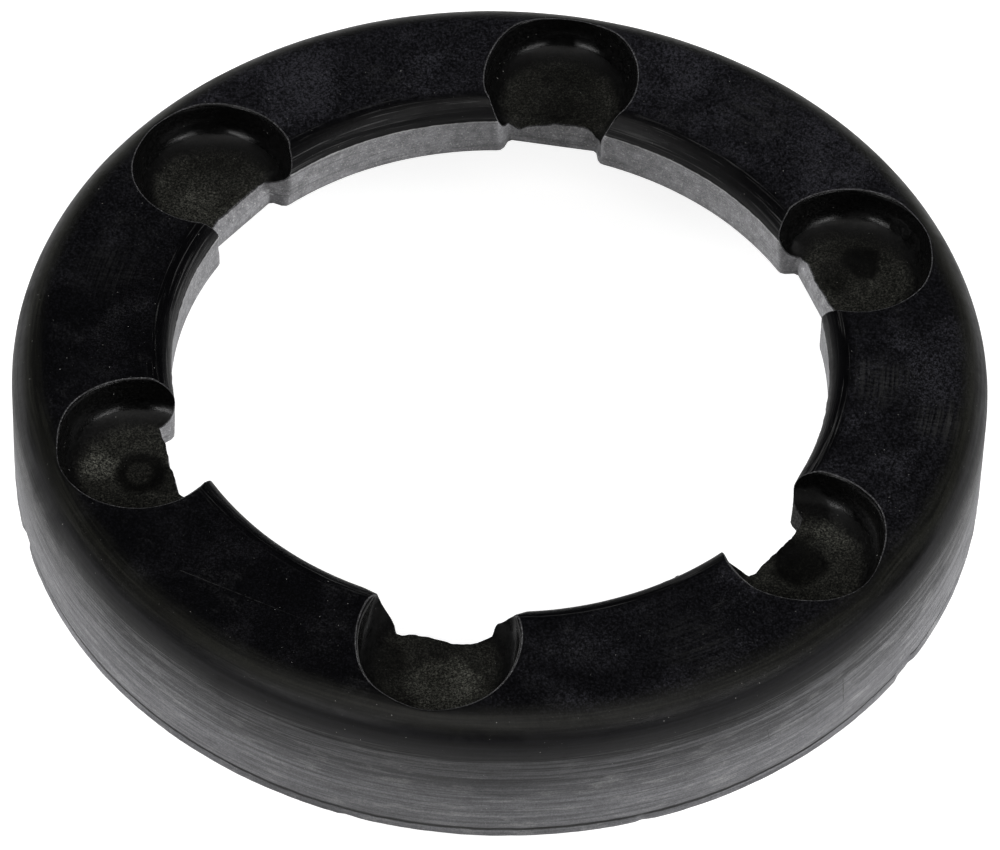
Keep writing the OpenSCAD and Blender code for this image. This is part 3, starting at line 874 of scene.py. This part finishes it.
    # the near pockets' notches are darker and duller beside their torn floors
    dark_notch_patch = n.spot(mm, (42.4, -16.6, 14.6), 5.0, 0.35, wander)
    for place in ((-7.3, -45.0, 14.2), (7.3, -45.0, 14.2)):
        dark_notch_patch = n.math("MAXIMUM", dark_notch_patch, n.spot(mm, place, 4.6, 0.35, wander))
    bore_tone = n.mix(dark_notch_patch, bore_tone, n.mix(n.span(grain, 0.42, 0.6), grey(0.004), grey(0.03)))
    # painted highlight: a bright thread along the flash at the bore's parting line
    bore_tone = n.mix(n.span(n.math("ABSOLUTE", n.math("SUBTRACT", run, PARTING - 0.05)), 0.22, 0.05), bore_tone, grey(0.30))

    # the pockets: olive grainy floors with worn and bare places, dark walls
    floor_tone = n.mix(n.span(mottle, 0.36, 0.64), grey(BOWL_TONE * 0.75, 0.11), grey(BOWL_TONE * 1.25, 0.11))
    marks = None
    for x, y, reach, tone in FLOOR_MARKS:
        here = n.ring_spot(flat, (x, y, 0), reach) if reach < 0 else n.spot(flat, (x, y, 0), reach, 0.45, wander)
        gain = n.math("MULTIPLY_ADD", here, tone - 1.0, 1.0)
        marks = gain if marks is None else n.math("MULTIPLY", marks, gain)
    floor_tone = n.mix(1.0, floor_tone, n.vector("SCALE", (1.0, 1.0, 1.0), marks), "MULTIPLY")
    curb = n.span(n.math("MULTIPLY_ADD", wander, 1.6, hub), 7.2, 9.6)
    bowl_tone = n.mix(curb, floor_tone, grey(BOWL_WALL))

    colour = n.mix(wall, top, wall_tone)
    colour = n.mix(bore, colour, bore_tone)
    colour = n.mix(n.span(bowl, 0.55, 0.95), n.mix(n.math("MULTIPLY", n.span(bowl, 0.0, 0.4), outside), colour, grey(TOP_DARK)), bowl_tone)
    rough_floor = n.math("MULTIPLY", bowl, n.span(hub, 9.4, 7.8))
    shade = n.math("MULTIPLY", n.span(grain, 0.25, 0.75, 0.7, 1.3, False), n.span(fine, 0.25, 0.75, 0.75, 1.25, False))
    strong = n.math("MULTIPLY", n.span(grain, 0.38, 0.64, 0.25, 1.85), n.span(fine, 0.38, 0.62, 0.35, 1.75))
    shade = n.math("ADD", n.math("MULTIPLY", shade, outside), n.math("MULTIPLY", strong, bowl))
    colour = n.mix(1.0, colour, n.vector("SCALE", (1.0, 1.0, 1.0), shade), "MULTIPLY")

    # scratches and dust specks
    for start, end, width, level in (((-34.2, -45.3, 21.4), (-13.6, -51.5, 21.4), 0.07, 0.02),
                                     ((51.1, -39.8, 11.9), (51.6, -39.2, 3.7), 0.14, 0.03),
                                     ((42.6, -48.8, 10.4), (42.9, -48.5, 8.2), 0.12, 0.03)):
        line = n.math("MULTIPLY", n.stroke(mm, start, end, width), n.span(mottle, 0.35, 0.55))
        colour = n.mix(line, colour, grey(level))
    near, pick = n.cells(mm, 1.9)
    split = tree.nodes.new("ShaderNodeSeparateColor")
    n.put(split.inputs[0], pick)
    size = n.math("MULTIPLY", n.math("POWER", split.outputs[0], 3.0), SPECK_SIZE)
    speck = n.span(n.math("SUBTRACT", near, size), 0.02, -0.02)
    faint = n.math("POWER", split.outputs[1], 3.0)
    colour = n.mix(n.math("MULTIPLY", speck, n.span(faint, 0, 1, 0.05, 0.75)), colour, (0.42, 0.42, 0.40, 1))
    n.put(bsdf.inputs["Base Color"], colour)

    # gloss
    gloss = n.span(cloud, 0, 1, 0.40, 0.54)
    gloss = n.math("MULTIPLY_ADD", shoulder, 0.03, gloss)
    gloss = n.math("MULTIPLY_ADD", n.math("MULTIPLY", dark_band_shade, n.span(fine_lines, 0.36, 0.60)), -0.08, gloss)
    gloss = n.math("MULTIPLY_ADD", rough_floor, 0.18, gloss)
    gloss = n.math("MULTIPLY_ADD", n.math("MULTIPLY", n.span(bowl, 0.6, 1.0), n.span(hub, 9.35, 9.75)), -0.18, gloss)
    gloss = n.math("MULTIPLY_ADD", n.math("MULTIPLY", n.span(bowl, 0.6, 1.0), n.span(hub, 9.5, 9.1)), 0.12, gloss)
    gloss = n.math("MULTIPLY_ADD", n.math("MULTIPLY", n.span(bowl, 0.0, 0.4), n.span(bowl, 1.0, 0.6)), 0.4, gloss)
    gloss = n.math("MULTIPLY_ADD", dark_notch_patch, 0.45, gloss)
    gloss = n.math("ADD", gloss, n.span(mottle, 0.2, 0.8, -0.05, 0.05), clamp=True)
    n.put(bsdf.inputs["Roughness"], gloss)
    bsdf.inputs["Specular IOR Level"].default_value = SPECULAR

    # relief: orange peel and grain everywhere, turning lines on the wall, pits in the floors
    relief = n.math("MULTIPLY_ADD", mottle, 0.5, n.math("MULTIPLY", grain, 0.35))
    relief = n.math("MULTIPLY", relief, n.span(rough_floor, 0, 1, 0.55, 1.9))
    lines = n.math("MULTIPLY", n.math("MULTIPLY_ADD", fine_lines, 0.8, coarse_lines), n.math("MAXIMUM", wall, n.math("MULTIPLY", throat, 0.7)))
    relief = n.math("MULTIPLY_ADD", lines, 1.2, relief)
    n.put(bsdf.inputs["Normal"], n.bump(relief, 0.00006, 1.0))
    return mat


def background_rays(nodes, share=None):
    """1 for the rays that see the pale background: the camera's, and mirrored and clear ones. share scales those."""
    path = nodes.tree.nodes.new("ShaderNodeLightPath")
    other = nodes.math("MAXIMUM", path.outputs["Is Glossy Ray"], path.outputs["Is Transmission Ray"])
    if share is not None:
        other = nodes.math("MULTIPLY", other, share)
    return nodes.math("MAXIMUM", path.outputs["Is Camera Ray"], other)


def make_stage():
    world = bpy.data.worlds.new("studio")
    scene.world = world
    world.use_nodes = True
    nt = world.node_tree
    nt.nodes.clear()
    n = Nodes(nt)
    out = nt.nodes.new("ShaderNodeOutputWorld")
    mix = nt.nodes.new("ShaderNodeMixShader")
    seen = nt.nodes.new("ShaderNodeBackground")
    seen.inputs["Color"].default_value = (1, 1, 1, 1)
    seen.inputs["Strength"].default_value = 1
    lit = nt.nodes.new("ShaderNodeBackground")
    lit.inputs["Color"].default_value = (1, 1, 1, 1)
    # the white screens stand low on either side; the rest of the room is dark
    way = nt.nodes.new("ShaderNodeSeparateXYZ")
    n.put(way.inputs[0], nt.nodes.new("ShaderNodeTexCoord").outputs["Generated"])
    screens = n.math("MULTIPLY", n.span(n.math("ABSOLUTE", way.outputs["X"]), 0.72, 0.94, 0.0, 0.5),
                     n.span(way.outputs["Z"], 0.14, 0.03))
    n.put(mix.inputs["Fac"], background_rays(n, screens))
    # and it fills the shade a little
    matt = nt.nodes.new("ShaderNodeLightPath").outputs["Is Diffuse Ray"]
    n.put(lit.inputs["Strength"], n.math("MULTIPLY_ADD", matt, 0.05, 0.010))
    nt.links.new(lit.outputs[0], mix.inputs[1])
    nt.links.new(seen.outputs[0], mix.inputs[2])
    nt.links.new(mix.outputs[0], out.inputs["Surface"])

    mesh = bpy.data.meshes.new("floor")
    count = 96
    radius = 0.6
    edge = [(radius * math.cos(2 * math.pi * i / count), radius * math.sin(2 * math.pi * i / count), -0.0002)
            for i in range(count)]
    mesh.from_pydata(edge, [], [list(range(count))])
    floor = bpy.data.objects.new("floor", mesh)
    scene.collection.objects.link(floor)
    mat = bpy.data.materials.new("pale_floor")
    mat.use_nodes = True
    ft = mat.node_tree
    ft.nodes.clear()
    n = Nodes(ft)
    fout = ft.nodes.new("ShaderNodeOutputMaterial")
    add = ft.nodes.new("ShaderNodeAddShader")
    diffuse = ft.nodes.new("ShaderNodeBsdfDiffuse")
    diffuse.inputs["Color"].default_value = (0.5, 0.5, 0.5, 1)
    glow = ft.nodes.new("ShaderNodeEmission")
    n.put(glow.inputs["Strength"], n.math("MULTIPLY", background_rays(n, 0.25), 0.85))
    ft.links.new(diffuse.outputs[0], add.inputs[0])
    ft.links.new(glow.outputs[0], add.inputs[1])
    ft.links.new(add.outputs[0], fout.inputs["Surface"])
    mesh.materials.append(mat)

    area_lamp("softbox_front", (0.1, -0.8, 1.35), (0, 0, 0), 1.6, 0.9, 6.6, (1, 0.99, 0.97))
    area_lamp("strip_left", (-0.72, -1.28, 0.66), (0, 0, 0), 0.8, 0.09, 3.0, (1, 1, 1))
    area_lamp("strip_right", (1.16, -0.90, 0.70), (0, 0, 0), 0.9, 0.09, 3.0, (1, 1, 1))
    # these two fill the sides and leave no gleam
    for name, x in (("fill_left", -1.6), ("fill_right", 1.6)):
        area_lamp(name, (x, 0.0, 0.55), (0, 0, 0), 0.9, 0.6, 44, (1, 1, 1)).visible_glossy = False


def make_ring():
    verts, faces, length, zone = ring_mesh()
    mesh = bpy.data.meshes.new("rubber_ring")
    mesh.vertices.add(len(verts))
    mesh.vertices.foreach_set("co", (verts * 0.001).astype(np.float32).ravel())
    mesh.loops.add(faces.size)
    mesh.loops.foreach_set("vertex_index", faces.astype(np.int32).ravel())
    mesh.polygons.add(len(faces))
    mesh.polygons.foreach_set("loop_start", np.arange(0, faces.size, 3, dtype=np.int32))
    mesh.polygons.foreach_set("use_smooth", np.ones(len(faces), bool))
    mesh.update(calc_edges=True)
    mesh.validate()
    turn = np.radians(POCKET_START + np.arange(POCKET_COUNT) * 360 / POCKET_COUNT)
    middles = POCKET_CENTRE * np.stack([np.cos(turn), np.sin(turn)], -1)
    hub = np.min(np.linalg.norm(verts[:, None, :2] - middles, axis=2), axis=1)
    for name, values in (("section_length", length), ("bowl", zone), ("bowl_radius", hub)):
        attribute = mesh.attributes.new(name, "FLOAT", "POINT")
        attribute.data.foreach_set("value", values.astype(np.float32))
    ring = bpy.data.objects.new("rubber_ring", mesh)
    scene.collection.objects.link(ring)
    mesh.materials.append(rubber())
    return ring


make_camera()
make_stage()
ring = make_ring()
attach(ring, "root")
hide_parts("insulator_ring")
